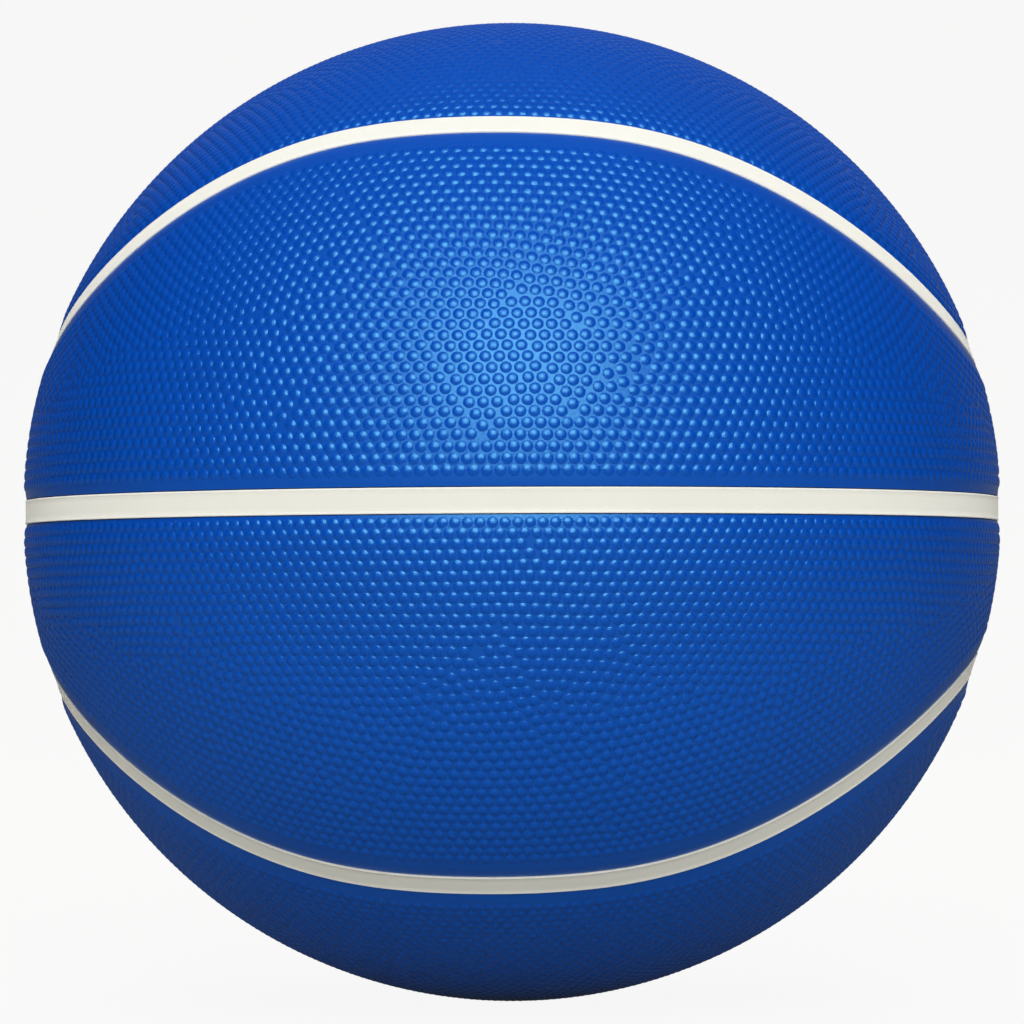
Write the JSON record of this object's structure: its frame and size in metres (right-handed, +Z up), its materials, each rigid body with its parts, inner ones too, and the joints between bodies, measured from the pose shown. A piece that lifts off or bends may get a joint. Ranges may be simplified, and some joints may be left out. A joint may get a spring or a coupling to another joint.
{
  "type": "basketball",
  "caption": "Full-size rubber basketball with pebbled blue cover panels between recessed cream channel strips, a wound layered shell and a pull-out inflation valve.",
  "frame": {"origin": "centre of the ball", "axes": "+Z up through the middle of the upper oval, -Y toward the pictured side, +X to the right of it"},
  "size_m": [0.2414, 0.2416, 0.2416],
  "materials": {
    "cover_rubber": "pebbled, satin",
    "strip_rubber": "smooth, matt",
    "carcass_rubber": "matt",
    "nylon_thread": "wound thread",
    "bladder_rubber": "smooth, satin",
    "valve_rubber": "smooth, satin",
    "seal_gum": "soft, matt"
  },
  "bodies": {
    "ball": {"panel_front_upper": "cover_rubber", "panel_front_lower": "cover_rubber", "panel_back_upper": "cover_rubber", "panel_back_lower": "cover_rubber", "panel_top_front": "cover_rubber", "panel_top_back": "cover_rubber", "panel_bottom_front": "cover_rubber", "panel_bottom_back": "cover_rubber", "equator_strip": "strip_rubber", "upper_loop_strip": "strip_rubber", "lower_loop_strip": "strip_rubber", "meridian_strip_right_upper": "strip_rubber", "meridian_strip_top": "strip_rubber", "meridian_strip_left_upper": "strip_rubber", "meridian_strip_left_lower": "strip_rubber", "meridian_strip_bottom": "strip_rubber", "meridian_strip_right_lower": "strip_rubber", "carcass": "carcass_rubber", "thread_winding": "nylon_thread", "bladder": "bladder_rubber", "valve_housing": "valve_rubber", "valve_seal": "seal_gum"},
    "valve_plug": {"valve_plug": "valve_rubber"}
  },
  "joints": [
    {"name": "valve_plug_pull", "type": "slide", "parent": "ball", "child": "valve_plug", "axis": [0, 0.977, 0.2133], "range_m": [0, 0.016]}
  ]
}
